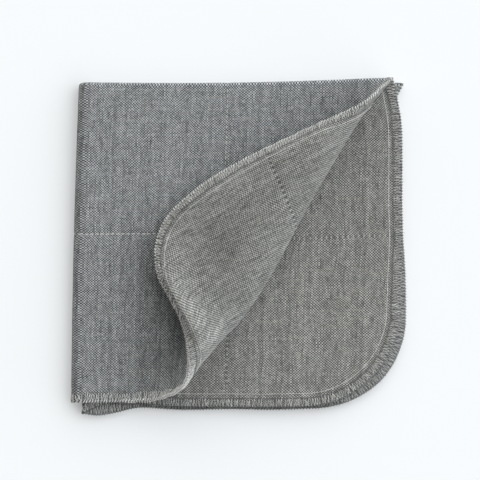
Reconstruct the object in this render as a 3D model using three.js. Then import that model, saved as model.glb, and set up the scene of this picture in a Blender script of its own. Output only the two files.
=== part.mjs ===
// A square face towel of thin woven cloth with round corners, folded in quarters,
// with the upper corner turned back. Units are millimetres.
//
// The cloth is one sheet. A point of the flat sheet is (u, v), measured from its middle,
// where the two folds cross:
//   u > 0 the two upper layers,  u < 0 the two lower ones (the left fold lies at u = 0)
//   v > 0 the two outer layers,  v < 0 the two inner ones (the far folds lie at v = 0)
// On the pile a point is (across, down): across from the left fold, down from the far fold,
// so that +X is across, +Y is against down and +Z is up from the surface it lies on.

import * as THREE from 'three';

// The cloth
const HALF_CUT = 165;
const CORNER_RADIUS = 46;
const THICKNESS = 1.2;
const HEM_THICKNESS = 1.5;
const HEM_WIDTH = 4.5;

// The pile of four layers
const LAYER_STEP = 1.8;
const LEFT_FOLD_DEPTH = 5;
const INNER_FOLD_DEPTH = 1.1;
const INNER_FOLD_INSET = 5.5;
const INNER_FOLD_FADE = 45;
const FAR_FOLD_DEPTH = 1.1;
const SWELL = 0.16;
const FOLD_SWELL = 0.14;
const FOLD_SWELL_WIDTH = 14;

// How the folded square departs from a true one
const SIDE_LEAN = 4.0;
const SIDE_BOW = 0.7;
const FAR_LEAN = 2.8;
const FAR_BOW = 1.5;
const LOWER_LAG = 2.8; // how far the lower pair lags at the open end of its far fold

// How far each layer reaches from the left fold, by its share of the way down
const ACROSS_REACH = [
  { share: 0.00, first: 160, second: 160.0, lower: 165.5 },
  { share: 0.05, first: 160, second: 162.0, lower: 162.2 },
  { share: 0.14, first: 160, second: 164.9, lower: 163.2 },
  { share: 0.25, first: 160, second: 165.8, lower: 164.3 },
  { share: 0.38, first: 160, second: 166.3, lower: 165.5 },
  { share: 0.50, first: 160, second: 167.1, lower: 167.8 },
  { share: 0.60, first: 160, second: 166.8, lower: 169.1 },
  { share: 0.72, first: 160, second: 166.6, lower: 169.7 },
  { share: 0.83, first: 160, second: 166.3, lower: 169.6 },
  { share: 1.00, first: 160, second: 166.1, lower: 171.3 },
];

// How far each layer reaches from the far fold, by its share of the way across
const DOWN_REACH = [
  { share: 0.00, first: 163, second: 169.0, third: 169.0, fourth: 163.0 },
  { share: 0.05, first: 163, second: 165.6, third: 170.1, fourth: 163.4 },
  { share: 0.11, first: 163, second: 164.2, third: 168.9, fourth: 164.6 },
  { share: 0.19, first: 163, second: 164.6, third: 166.5, fourth: 165.8 },
  { share: 0.33, first: 163, second: 166.4, third: 168.0, fourth: 167.8 },
  { share: 0.48, first: 163, second: 166.9, third: 168.0, fourth: 168.0 },
  { share: 0.60, first: 163, second: 167.4, third: 168.7, fourth: 168.6 },
  { share: 0.75, first: 163, second: 167.3, third: 168.4, fourth: 168.3 },
  { share: 0.88, first: 163, second: 166.8, third: 169.1, fourth: 168.9 },
  { share: 1.00, first: 163, second: 166.6, third: 171.3, fourth: 170.9 },
];

// The turned-back corner, one row for each section across its roll. A section starts where the
// cloth leaves the pile, at lift, and is one cubic curve that sets off level for a handle of
// length out, comes over from the handle (over, overRise) and ends at the hem. All but rise
// are measured across the roll line, which runs from the corner of the far fold.
const ROLL_ANGLE = 55.7;
const TURNED_CORNER = [
  { along: 0, lift: 0.0, out: 0.0, over: 0.0, overRise: 0, hem: 0.0, hemRise: 0, sag: 0 },
  { along: 6, lift: -6.0, out: 4.0, over: -0.5, overRise: 4.5, hem: -2.4, hemRise: 6.5, sag: 0 },
  { along: 20, lift: -7.0, out: 6.0, over: -0.5, overRise: 12.0, hem: -6.1, hemRise: 13.0, sag: 0 },
  { along: 45, lift: -8.5, out: 18.9, over: -13.8, overRise: 25.1, hem: -21.7, hemRise: 9.0, sag: 0 },
  { along: 75, lift: -9.7, out: 29.9, over: -19.1, overRise: 30.6, hem: -39.4, hemRise: 7.5, sag: 3.0 },
  { along: 100, lift: -9.7, out: 38.8, over: -20.5, overRise: 32.8, hem: -50.5, hemRise: 6.5, sag: 4.5 },
  { along: 125, lift: -10.4, out: 43.9, over: -17.0, overRise: 33.0, hem: -54.3, hemRise: 5.5, sag: 4.5 },
  { along: 145, lift: -10.6, out: 42.0, over: -14.0, overRise: 33.6, hem: -43.2, hemRise: 11.5, sag: 2.5 },
  { along: 158, lift: -11.8, out: 30.0, over: 0.0, overRise: 38.0, hem: -19.2, hemRise: 19.0, sag: 0 },
  { along: 170, lift: -12.6, out: 22.0, over: 4.5, overRise: 27.0, hem: -5.8, hemRise: 24.0, sag: 0 },
  { along: 185, lift: -14.0, out: 12.0, over: 4.5, overRise: 12.0, hem: 1.7, hemRise: 19.0, sag: 0 },
  { along: 200, lift: -15.5, out: 5.0, over: -8.5, overRise: 1.5, hem: -5.8, hemRise: 5.0, sag: 0 },
  { along: 212, lift: -21.5, out: 0.0, over: -21.5, overRise: 0, hem: -21.5, hemRise: 0, sag: 0 },
];
const SAG_START = 0.45;
const SECTION_DIVISIONS = 40;

// Spacing of the mesh
const FINE_STEP = 4.7;
const COARSE_STEP = 26;
const CORNER_STEPS = 7;
const LEFT_FOLD_LINES = [0.55, 1.1, 2.6, 5];
const FAR_FOLD_LINES = [0.55, 1.1];
const NORMAL_STEP = 0.3;

const COLOUR = 0x7e807d;

// A smooth value from a column of a table, read at a place along its key
function readTable(table, key, column, at) {
  const last = table.length - 1;
  const place = THREE.MathUtils.clamp(at, table[0][key], table[last][key]);
  let i = 0;
  while (i < last - 1 && place > table[i + 1][key]) i += 1;
  const slope = (n) => {
    const from = table[Math.max(n - 1, 0)];
    const to = table[Math.min(n + 1, last)];
    return (to[column] - from[column]) / (to[key] - from[key]);
  };
  const gap = table[i + 1][key] - table[i][key];
  const t = (place - table[i][key]) / gap;
  const blend = t * t * (3 - 2 * t);
  const start = t * (1 - t) * (1 - t) * gap * slope(i);
  const end = t * t * (t - 1) * gap * slope(i + 1);
  return table[i][column] * (1 - blend) + table[i + 1][column] * blend + start + end;
}

// The plain outline of the first layer, before it is turned back
const FIRST_ACROSS = ACROSS_REACH[0].first;
const FIRST_DOWN = DOWN_REACH[0].first;
const FIRST_RADIUS = CORNER_RADIUS * (FIRST_ACROSS + FIRST_DOWN) / (2 * HALF_CUT);
const ROLL = THREE.MathUtils.degToRad(ROLL_ANGLE);
const ROLL_COS = Math.cos(ROLL);
const ROLL_SIN = Math.sin(ROLL);

// A place on the first layer as distances along the roll and out across it, and back
const toRoll = (across, down) => ({
  along: (FIRST_ACROSS - across) * ROLL_COS + down * ROLL_SIN,
  out: (across - FIRST_ACROSS) * ROLL_SIN + down * ROLL_COS,
});
const fromRoll = (along, out) => ({
  across: FIRST_ACROSS - along * ROLL_COS + out * ROLL_SIN,
  down: along * ROLL_SIN + out * ROLL_COS,
});

// Distance out to the hem of the flat first layer: right edge, round corner, near edge
function hemOut(along) {
  const centre = toRoll(FIRST_ACROSS - FIRST_RADIUS, FIRST_DOWN - FIRST_RADIUS);
  const cornerStart = (FIRST_DOWN - FIRST_RADIUS) * ROLL_SIN;
  const cornerEnd = toRoll(FIRST_ACROSS - FIRST_RADIUS, FIRST_DOWN).along;
  if (along < cornerStart) return along * ROLL_COS / ROLL_SIN;
  if (along > cornerEnd) return (FIRST_DOWN - along * ROLL_SIN) / ROLL_COS;
  return centre.out + Math.sqrt(FIRST_RADIUS ** 2 - (along - centre.along) ** 2);
}

// One section of the turned-back corner: its curve of (out, rise) and how far it sags
function rollSection(along) {
  const row = (column) => readTable(TURNED_CORNER, 'along', column, along);
  const lift = row('lift');
  const curve = new THREE.CubicBezierCurve(
    new THREE.Vector2(lift, 0),
    new THREE.Vector2(lift + row('out'), 0),
    new THREE.Vector2(row('over'), row('overRise')),
    new THREE.Vector2(row('hem'), row('hemRise')),
  );
  curve.arcLengthDivisions = SECTION_DIVISIONS;
  return { lift, curve, sag: row('sag') };
}

// Where a place on the first layer goes when the corner is turned back
function turnBack(across, down) {
  const { along, out } = toRoll(across, down);
  const { lift, sag, curve } = rollSection(along);
  const length = hemOut(along) - lift;
  if (out <= lift || length <= 0) return { across, down, rise: 0 };
  const share = (out - lift) / length;
  const point = curve.getPointAt(Math.min(share, 1));
  if (share > 1) point.addScaledVector(curve.getTangent(1), (share - 1) * length);
  const dip = Math.sin(Math.PI * Math.max(share - SAG_START, 0) / (1 - SAG_START));
  return { ...fromRoll(along, point.x), rise: point.y - sag * dip * dip };
}

// Soft swelling of the pile, from 0 to about 1, the same for all its layers
function swelling(across, down) {
  const long = Math.sin(across / 41 + down / 67 + 0.6);
  const short = Math.sin(across / 23 - down / 29 + 2.1);
  return 0.5 + 0.3 * long + 0.2 * short;
}

// Half of a fold: how deep a place is in it, and how far up its round it has come
function foldPart(distance, depth) {
  const turn = Math.min(distance / depth, 1) * Math.PI / 2;
  return { inset: depth * (1 - Math.cos(turn)) + Math.max(distance - depth, 0), lift: Math.sin(turn) };
}

// Middle surface of the folded cloth
function place(u, v) {
  const upper = u >= 0;
  const outer = v >= 0;
  const shareAcross = Math.abs(u) / HALF_CUT;
  const shareDown = Math.abs(v) / HALF_CUT;
  const acrossColumn = upper ? (outer ? 'first' : 'second') : 'lower';
  const downColumn = upper ? (outer ? 'first' : 'second') : (outer ? 'fourth' : 'third');
  let across = shareAcross * readTable(ACROSS_REACH, 'share', acrossColumn, shareDown);
  let down = shareDown * readTable(DOWN_REACH, 'share', downColumn, shareAcross);
  let rise = 0;
  if (upper && outer) ({ across, down, rise } = turnBack(across, down));

  const far = foldPart(down, FAR_FOLD_DEPTH);
  const offset = (outer ? 1 : -1) * far.lift * LAYER_STEP / 2;
  const inner = 0.5 - offset / LAYER_STEP;
  const depth = THREE.MathUtils.lerp(LEFT_FOLD_DEPTH, INNER_FOLD_DEPTH, inner);
  const side = foldPart(across, depth);
  const height = (upper ? 1 : -1) * side.lift * (LAYER_STEP + offset);

  const x = side.inset + inner * INNER_FOLD_INSET * Math.max(1 - across / INNER_FOLD_FADE, 0);
  const y = far.inset;
  const fold = FOLD_SWELL * Math.exp(-((x / FOLD_SWELL_WIDTH) ** 2));
  const thicker = 1 + SWELL * swelling(x, y) + fold;
  const shareX = x / HALF_CUT;
  const shareY = y / HALF_CUT;
  const lag = upper ? 0 : LOWER_LAG * Math.abs(shareX) ** 6 * (1 - shareY);
  return new THREE.Vector3(
    x - SIDE_LEAN * shareY - SIDE_BOW * Math.sin(Math.PI * shareY) * (1 - shareX),
    -(y + lag - FAR_LEAN * shareX + FAR_BOW * Math.sin(Math.PI * shareX) * (1 - shareY)),
    THICKNESS / 2 + (height + 1.5 * LAYER_STEP) * thicker + rise,
  );
}

// Evenly spaced numbers from one value to another, without the first
function steps(from, to, size) {
  const count = Math.max(Math.round((to - from) / size), 1);
  return Array.from({ length: count }, (_, i) => from + (to - from) * (i + 1) / count);
}

// Mesh lines of one half of the sheet, from the fold outward to the hem
const HEM_LINE = HALF_CUT - HEM_WIDTH;
const CORNER_LINE = HALF_CUT - CORNER_RADIUS;
function halfLinesAcross(step) {
  const start = LEFT_FOLD_LINES.at(-1);
  return [...LEFT_FOLD_LINES, ...steps(start, HEM_LINE, step), HALF_CUT];
}
function halfLinesDown(step) {
  const turn = (i) => Math.PI / 2 * i / CORNER_STEPS;
  const corner = steps(0, CORNER_STEPS, 1).map((i) => CORNER_LINE + CORNER_RADIUS * Math.sin(turn(i)));
  return [...FAR_FOLD_LINES, ...steps(FAR_FOLD_LINES.at(-1), CORNER_LINE, step), ...corner];
}
const bothSides = (fine, coarse) => [...coarse.map((line) => -line).reverse(), 0, ...fine];
const LINES_ACROSS = bothSides(halfLinesAcross(FINE_STEP), halfLinesAcross(COARSE_STEP));
const LINES_DOWN = bothSides(halfLinesDown(FINE_STEP), halfLinesDown(COARSE_STEP));

// The sheet's half width on a mesh line: full, then less where its corners are round
function halfWidth(v) {
  const past = Math.max(Math.abs(v) - CORNER_LINE, 0);
  return CORNER_LINE + Math.sqrt(Math.max(CORNER_RADIUS ** 2 - past ** 2, 0));
}

// Mesh lines near the left fold stay where they are, the rest are drawn in to the outline
function sheetPoint(lineAcross, lineDown) {
  const kept = LEFT_FOLD_LINES.at(-1);
  const beyond = Math.max(Math.abs(lineAcross) - kept, 0);
  const scale = (halfWidth(lineDown) - kept) / (HALF_CUT - kept);
  const u = Math.sign(lineAcross) * (Math.min(Math.abs(lineAcross), kept) + beyond * scale);
  return { u, v: lineDown };
}

// Half the thickness of the cloth: a little more in the hem than inside it
function halfThickness(u, v) {
  const roundU = Math.max(Math.abs(u) - CORNER_LINE, 0);
  const roundV = Math.max(Math.abs(v) - CORNER_LINE, 0);
  const straight = HALF_CUT - Math.max(Math.abs(u), Math.abs(v));
  const inside = roundU > 0 && roundV > 0 ? CORNER_RADIUS - Math.hypot(roundU, roundV) : straight;
  const share = THREE.MathUtils.clamp(inside / HEM_WIDTH, 0, 1);
  return THREE.MathUtils.lerp(HEM_THICKNESS, THICKNESS, share) / 2;
}

// Direction square to the cloth at a point of the sheet, from points close beside it
function clothNormal(u, v) {
  const near = (value, limit) => [-NORMAL_STEP, NORMAL_STEP]
    .map((step) => THREE.MathUtils.clamp(value + step, -limit, limit));
  const [left, right] = near(u, halfWidth(v)).map((side) => place(side, v));
  const [lower, upper] = near(v, halfWidth(u)).map((side) => place(u, side));
  return upper.sub(lower).cross(right.sub(left)).normalize();
}

// The sheet in points: a closed skin at half the thickness on each side of its middle surface
function foldedSheet() {
  const sheet = LINES_DOWN.map((down) => LINES_ACROSS.map((across) => sheetPoint(across, down)));
  const normals = sheet.map((line) => line.map(({ u, v }) => clothNormal(u, v)));
  const points = [];
  for (const side of [1, -1]) {
    sheet.forEach((line, j) => line.forEach(({ u, v }, i) => {
      const point = place(u, v).addScaledVector(normals[j][i], side * halfThickness(u, v));
      points.push(point.x, point.y, Math.max(point.z, 0));
    }));
  }
  return { columns: LINES_ACROSS.length, rows: LINES_DOWN.length, points, normals };
}

function clothGeometry() {
  const { columns, rows, points, normals } = foldedSheet();
  const faces = [];
  const outerSide = (i, j) => j * columns + i;
  const innerSide = (i, j) => outerSide(i, j) + rows * columns;
  const square = (a, b, c, d) => faces.push(a, b, d, b, c, d);

  // Both sides: each square is halved along the diagonal that the cloth bends less on
  for (let j = 0; j + 1 < rows; j += 1) {
    for (let i = 0; i + 1 < columns; i += 1) {
      const rising = normals[j][i].dot(normals[j + 1][i + 1]);
      const falling = normals[j + 1][i].dot(normals[j][i + 1]);
      const ring = [[i, j], [i, j + 1], [i + 1, j + 1], [i + 1, j]];
      if (rising > falling) ring.push(ring.shift());
      square(...ring.map(([column, row]) => outerSide(column, row)));
      const [first, second, third, fourth] = ring.map(([column, row]) => innerSide(column, row));
      square(first, fourth, third, second);
    }
  }

  // The hem round the sheet
  const lastRow = rows - 1;
  for (let i = 0; i + 1 < columns; i += 1) {
    square(outerSide(i, 0), outerSide(i + 1, 0), innerSide(i + 1, 0), innerSide(i, 0));
    const [start, end] = [outerSide(i, lastRow), outerSide(i + 1, lastRow)];
    square(start, innerSide(i, lastRow), innerSide(i + 1, lastRow), end);
  }
  const lastColumn = columns - 1;
  for (let j = 0; j + 1 < rows; j += 1) {
    square(outerSide(0, j), innerSide(0, j), innerSide(0, j + 1), outerSide(0, j + 1));
    const [start, end] = [outerSide(lastColumn, j), outerSide(lastColumn, j + 1)];
    square(start, end, innerSide(lastColumn, j + 1), innerSide(lastColumn, j));
  }
  const geometry = new THREE.BufferGeometry();
  geometry.setAttribute('position', new THREE.Float32BufferAttribute(points, 3));
  geometry.setIndex(faces);
  geometry.computeVertexNormals();
  return geometry;
}

const towel = new THREE.Mesh(
  clothGeometry(),
  new THREE.MeshStandardMaterial({ color: COLOUR, roughness: 0.95, metalness: 0 }),
);
towel.name = 'towel';

// Stand the towel with the middle of its outline on the origin
const outline = new THREE.Box3().setFromObject(towel);
const middle = outline.getCenter(new THREE.Vector3());
towel.position.set(-middle.x, -middle.y, -outline.min.z);

const model = new THREE.Group();
model.add(towel);
export default model;
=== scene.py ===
# %% [markdown]
# # A folded gauze face towel
# One square of soft grey gauze with round corners and an overlocked edge lies folded in
# quarters, and the upper corner is turned back on itself. The towel is made as a sewing
# room makes it: first flat, with its stitches, and then everything is folded together by
# one function. So a stitch always stays on the cloth it was sewn to.

# %% Load the packed model as a fixed frame
import math

import bpy
import numpy as np
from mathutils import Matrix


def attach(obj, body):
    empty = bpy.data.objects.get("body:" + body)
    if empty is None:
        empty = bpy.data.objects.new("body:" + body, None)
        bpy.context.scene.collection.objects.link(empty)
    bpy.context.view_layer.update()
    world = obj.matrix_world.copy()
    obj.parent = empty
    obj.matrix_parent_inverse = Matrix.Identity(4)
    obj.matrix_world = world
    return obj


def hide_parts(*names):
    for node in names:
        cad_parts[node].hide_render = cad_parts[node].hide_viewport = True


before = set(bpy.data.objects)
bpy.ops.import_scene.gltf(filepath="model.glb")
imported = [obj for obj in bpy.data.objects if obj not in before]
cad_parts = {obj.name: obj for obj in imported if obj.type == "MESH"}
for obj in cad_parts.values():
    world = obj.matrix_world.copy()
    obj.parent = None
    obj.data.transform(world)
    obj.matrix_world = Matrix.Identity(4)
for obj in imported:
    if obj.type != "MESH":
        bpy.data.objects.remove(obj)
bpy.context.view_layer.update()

# %% [markdown]
# ## Camera
# A towel laid out for a picture is taken from straight above with a long lens, so that its
# outline stays square. The lens follows from the width that the picture shows at the
# height of the cloth's top, so there is one number to measure and none to try.

# %% Camera straight above
MM = 0.001
SHOWN_WIDTH = 244.8 * MM
CLOTH_TOP = 7.2 * MM
CAMERA_PLACE = (0.85 * MM, 3.11 * MM, 850 * MM)

camera_data = bpy.data.cameras.new("camera")
camera_data.sensor_width = 36
camera_data.lens = 36 * (CAMERA_PLACE[2] - CLOTH_TOP) / SHOWN_WIDTH
camera = bpy.data.objects.new("camera", camera_data)
camera.location = CAMERA_PLACE
bpy.context.scene.collection.objects.link(camera)
bpy.context.scene.camera = camera
print("lens in mm:", round(camera_data.lens, 1))

# %% [markdown]
# ## The flat cut
# The cloth is a 330 mm square with round corners. A point of it is (u, v) in millimetres
# from its middle. Its two fold lines are u = 0 and v = 0: u above 0 is the upper half
# of the pile, and v above 0 gives its outer layers, the first and the fourth. The layers
# lie a little further apart than the cloth is thick, and gape more at the folds.

# %% Sizes of the cut and of the pile
HALF_CUT = 165
CORNER_RADIUS = 46
CORNER_LINE = HALF_CUT - CORNER_RADIUS
THICKNESS = 1.2
LAYER_STEP = 1.8
LEFT_FOLD_DEPTH = 5
INNER_FOLD_DEPTH = 1.1
INNER_FOLD_INSET = 5.5
INNER_FOLD_FADE = 45
FAR_FOLD_DEPTH = 1.1
SWELL = 0.16
FOLD_SWELL = 0.14
FOLD_SWELL_WIDTH = 14
SIDE_LEAN = 4.0
SIDE_BOW = 0.7
FAR_LEAN = 2.8
FAR_BOW = 1.5
LOWER_LAG = 2.8
LAG_POWER = 6

# %% [markdown]
# ## Tables of the folds
# Hand-folded layers never lie edge on edge. A short table says how far each layer reaches
# from its fold, at a few places along it, and a smooth curve runs through the rows.
# The turned-back corner has a row for each section across its roll: where it leaves the
# pile (lift), and the handles and the end of the curve it makes from there to the hem.

# %% How far the layers reach, and the sections of the turned-back corner
def table(columns, *rows):
    return dict(zip(columns.split(), np.array(rows, float).T))


ACROSS_REACH = table(
    "share first second lower",
    (0.00, 160, 160.0, 165.5),
    (0.05, 160, 162.0, 162.2),
    (0.14, 160, 164.9, 163.2),
    (0.25, 160, 165.8, 164.3),
    (0.38, 160, 166.3, 165.5),
    (0.50, 160, 167.1, 167.8),
    (0.60, 160, 166.8, 169.1),
    (0.72, 160, 166.6, 169.7),
    (0.83, 160, 166.3, 169.6),
    (1.00, 160, 166.1, 171.3),
)
DOWN_REACH = table(
    "share first second third fourth",
    (0.00, 163, 169.0, 169.0, 163.0),
    (0.05, 163, 165.6, 170.1, 163.4),
    (0.11, 163, 164.2, 168.9, 164.6),
    (0.19, 163, 164.6, 166.5, 165.8),
    (0.33, 163, 166.4, 168.0, 167.8),
    (0.48, 163, 166.9, 168.0, 168.0),
    (0.60, 163, 167.4, 168.7, 168.6),
    (0.75, 163, 167.3, 168.4, 168.3),
    (0.88, 163, 166.8, 169.1, 168.9),
    (1.00, 163, 166.6, 171.3, 170.9),
)
ROLL = math.radians(55.7)
SAG_START = 0.45
TURNED_CORNER = table(
    "along lift out over over_rise hem hem_rise sag",
    (0, 0.0, 0.0, 0.0, 0.0, 0.0, 0.0, 0.0),
    (6, -6.0, 4.0, -0.5, 4.5, -2.4, 6.5, 0.0),
    (20, -7.0, 6.0, -0.5, 12.0, -6.1, 13.0, 0.0),
    (45, -8.5, 18.9, -13.8, 25.1, -21.7, 9.0, 0.0),
    (75, -9.7, 29.9, -19.1, 30.6, -39.4, 7.5, 3.0),
    (100, -9.7, 38.8, -20.5, 32.8, -50.5, 6.5, 4.5),
    (125, -10.4, 43.9, -17.0, 33.0, -54.3, 5.5, 4.5),
    (145, -10.6, 42.0, -14.0, 33.6, -43.2, 11.5, 2.5),
    (158, -11.8, 30.0, 0.0, 38.0, -19.2, 19.0, 0.0),
    (170, -12.6, 22.0, 4.5, 27.0, -5.8, 24.0, 0.0),
    (185, -14.0, 12.0, 4.5, 12.0, 1.7, 19.0, 0.0),
    (200, -15.5, 5.0, -8.5, 1.5, -5.8, 5.0, 0.0),
    (212, -21.5, 0.0, -21.5, 0.0, -21.5, 0.0, 0.0),
)


def read(rows, column, at):
    """A smooth value from a table's column, at places along its first column."""
    keys, values = next(iter(rows.values())), rows[column]
    at = np.clip(at, keys[0], keys[-1])
    index = np.arange(len(keys))
    before, after = np.maximum(index - 1, 0), np.minimum(index + 1, len(keys) - 1)
    slope = (values[after] - values[before]) / (keys[after] - keys[before])
    i = np.clip(np.searchsorted(keys, at) - 1, 0, len(keys) - 2)
    gap = keys[i + 1] - keys[i]
    t = (at - keys[i]) / gap
    blend = t * t * (3 - 2 * t)
    bend = t * (1 - t) ** 2 * slope[i] + t * t * (t - 1) * slope[i + 1]
    return values[i] * (1 - blend) + values[i + 1] * blend + gap * bend


hem_height = float(read(TURNED_CORNER, "hem_rise", 125))
print("the corner's hem is", hem_height, "mm over the pile at 125 mm")

# %% [markdown]
# ## Turning the corner back
# When a corner is turned back over a roll, each line of cloth across the roll becomes a
# curve of the same length. So a point is first put at its distance along the roll and its
# distance out across it. The first stays, and the second is laid off along the curve.

# %% The turned-back corner as curves across its roll
FIRST_ACROSS = ACROSS_REACH["first"][0]
FIRST_DOWN = DOWN_REACH["first"][0]
FIRST_RADIUS = CORNER_RADIUS * (FIRST_ACROSS + FIRST_DOWN) / (2 * HALF_CUT)
ROLL_COS, ROLL_SIN = math.cos(ROLL), math.sin(ROLL)
SECTION_PARTS = 40


def to_roll(across, down):
    along = (FIRST_ACROSS - across) * ROLL_COS + down * ROLL_SIN
    return along, (across - FIRST_ACROSS) * ROLL_SIN + down * ROLL_COS


def from_roll(along, out):
    return FIRST_ACROSS - along * ROLL_COS + out * ROLL_SIN, along * ROLL_SIN + out * ROLL_COS


def hem_out(along):
    """Distance out to the hem of the flat layer: right edge, round corner, near edge."""
    middle_along, middle_out = to_roll(FIRST_ACROSS - FIRST_RADIUS, FIRST_DOWN - FIRST_RADIUS)
    start = (FIRST_DOWN - FIRST_RADIUS) * ROLL_SIN
    end = to_roll(FIRST_ACROSS - FIRST_RADIUS, FIRST_DOWN)[0]
    beside = np.clip(along - middle_along, -FIRST_RADIUS, FIRST_RADIUS)
    corner = middle_out + np.sqrt(FIRST_RADIUS**2 - beside**2)
    right, near = along * ROLL_COS / ROLL_SIN, (FIRST_DOWN - along * ROLL_SIN) / ROLL_COS
    return np.where(along < start, right, np.where(along > end, near, corner))


def cubic(t, points):
    first, second, third, fourth = points
    rest = 1 - t
    return rest**3 * first + 3 * rest**2 * t * second + 3 * rest * t**2 * third + t**3 * fourth


def turn_back(across, down):
    """Points of the first layer and their rise, with those past the lift on their curve."""
    along, out = to_roll(across, down)
    lift, handle, over, over_rise, hem, hem_rise, sag = (
        read(TURNED_CORNER, column, along) for column in list(TURNED_CORNER)[1:]
    )
    outs = [value[:, None] for value in (lift, lift + handle, over, hem)]
    rises = [value[:, None] for value in (0 * lift, 0 * lift, over_rise, hem_rise)]
    parts = np.linspace(0, 1, SECTION_PARTS + 1)[None, :]
    lengths = np.hypot(np.diff(cubic(parts, outs)), np.diff(cubic(parts, rises)))
    run = np.concatenate([0 * lift[:, None], np.cumsum(lengths, axis=1)], axis=1)

    flat_length = hem_out(along) - lift
    turned = (out > lift) & (flat_length > 0)
    share = np.where(turned, (out - lift) / np.where(turned, flat_length, 1), 0)
    target = np.clip(share, 0, 1) * run[:, -1]
    i = np.clip((run < target[:, None]).sum(axis=1) - 1, 0, SECTION_PARTS - 1)
    rows = np.arange(len(i))
    step = np.maximum(run[rows, i + 1] - run[rows, i], 1e-9)
    t = ((i + (target - run[rows, i]) / step) / SECTION_PARTS)[:, None]
    new_out, rise = cubic(t, outs)[:, 0], cubic(t, rises)[:, 0]

    past = np.maximum(share - 1, 0) * flat_length
    last_out, last_rise = hem - over, hem_rise - over_rise
    last = np.maximum(np.hypot(last_out, last_rise), 1e-9)
    new_out += past * last_out / last
    rise += past * last_rise / last
    dip = np.sin(np.pi * np.maximum(share - SAG_START, 0) / (1 - SAG_START))
    rise -= sag * dip**2
    new_across, new_down = from_roll(along, new_out)
    return (
        np.where(turned, new_across, across),
        np.where(turned, new_down, down),
        np.where(turned, rise, 0),
    )


flat_hem = float(hem_out(np.array([125.0]))[0])
print("the flat hem is", round(flat_hem, 1), "mm out from the roll at 125 mm")

# %% [markdown]
# ## Folding the pile
# Two folds make the four layers: the cloth goes over at the far side and then over at the
# left side. A fold isn't a sharp line but a small round as deep as its layers are apart.

# %% Folding a flat point
FOLDS_CORNER = np.array([-81.026, 83.167, 0])
PILE_MIDDLE = 1.5 * LAYER_STEP

# Long slow waves in the thickness of the pile: their shares, lengths and starts in mm.
SWELL_WAVES = table(
    "share across down start",
    (0.3, 41, 67, 0.6),
    (0.2, 23, -29, 2.1),
)


def fold_part(distance, depth):
    """How far a point is from the fold's outside, and how far it is round the fold."""
    turn = np.minimum(distance / depth, 1) * np.pi / 2
    return depth * (1 - np.cos(turn)) + np.maximum(distance - depth, 0), np.sin(turn)


def swelling(x, y):
    """Soft unevenness of the pile, from 0 to 1."""
    swell = 0.5
    for share, across, down, start in np.array(list(SWELL_WAVES.values())).T:
        swell = swell + share * np.sin(x / across + y / down + start)
    return swell


def middle_surface(u, v):
    """Where flat points lie in the folded towel, in mm from the corner of its two folds."""
    upper, outer = u >= 0, v >= 0
    share_across, share_down = np.abs(u) / HALF_CUT, np.abs(v) / HALF_CUT
    first = upper & outer
    reach = {name: read(ACROSS_REACH, name, share_down) for name in list(ACROSS_REACH)[1:]}
    upper_reach = np.where(first, reach["first"], reach["second"])
    across = share_across * np.where(upper, upper_reach, reach["lower"])
    reach = {name: read(DOWN_REACH, name, share_across) for name in list(DOWN_REACH)[1:]}
    upper_reach = np.where(outer, reach["first"], reach["second"])
    lower_reach = np.where(outer, reach["fourth"], reach["third"])
    down = share_down * np.where(upper, upper_reach, lower_reach)
    rise = np.zeros_like(across)
    across[first], down[first], rise[first] = turn_back(across[first], down[first])

    far_inset, far_lift = fold_part(down, FAR_FOLD_DEPTH)
    offset = np.where(outer, 1, -1) * far_lift * LAYER_STEP / 2
    inner = 0.5 - offset / LAYER_STEP
    depth = LEFT_FOLD_DEPTH + (INNER_FOLD_DEPTH - LEFT_FOLD_DEPTH) * inner
    side_inset, side_lift = fold_part(across, depth)
    height = np.where(upper, 1, -1) * side_lift * (LAYER_STEP + offset)

    x = side_inset + inner * INNER_FOLD_INSET * np.maximum(1 - across / INNER_FOLD_FADE, 0)
    y = far_inset
    thicker = 1 + SWELL * swelling(x, y) + FOLD_SWELL * np.exp(-((x / FOLD_SWELL_WIDTH) ** 2))
    share_x, share_y = x / HALF_CUT, y / HALF_CUT
    lag = np.where(upper, 0, LOWER_LAG * np.abs(share_x) ** LAG_POWER * (1 - share_y))
    side_bow = SIDE_BOW * np.sin(np.pi * share_y) * (1 - share_x)
    far_bow = FAR_BOW * np.sin(np.pi * share_x) * (1 - share_y)
    return np.stack(
        [
            x - SIDE_LEAN * share_y - side_bow,
            -(y + lag - FAR_LEAN * share_x + far_bow),
            THICKNESS / 2 + (height + PILE_MIDDLE) * thicker + rise,
        ],
        axis=1,
    )


middle = middle_surface(np.array([0.0]), np.array([0.0]))[0]
print("folds' corner lies", round(middle[2], 1), "mm high in the pile")


# %% [markdown]
# The solid shows the folds alone. The visible cloth also has what a hand leaves in gauze:
# a pucker along the sewn edge and a few soft creases. A cloth simulation would make others
# on each run, so they are given here, in millimetres on the flat cloth, and lift or sink it
# square to its own surface.

# %% Soft relief of the cloth
PUCKER_HEIGHT = 0.22
PUCKER_LENGTH = 8.5
PUCKER_WIDTH = 7
PUCKER_DRIFT, DRIFT_LENGTH = 1.7, 23
PUCKER_LEAST, PUCKER_CHANGE, CHANGE_LENGTH = 0.6, 0.4, 31

# Each crease runs from one flat point to another. Height is above the cloth's face, so a
# trough has a negative one; it fades out at its ends.
CREASES = table(
    "from_u from_v to_u to_v width height",
    (20, 30, 60, 150, 9, 0.25),
    (48, 12, 80, 110, 12, -0.25),
    (8, 120, 50, 160, 7, 0.30),
    (100, 20, 70, 75, 10, 0.22),
    (96, 96, 150, 60, 9, 0.35),
    (110, 120, 158, 92, 8, -0.35),
    (84, 140, 150, 120, 10, 0.40),
    (40, -40, 150, -70, 11, 0.22),
    (60, -110, 140, -96, 9, -0.22),
    (100, -150, 158, -60, 10, 0.25),
)


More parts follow.
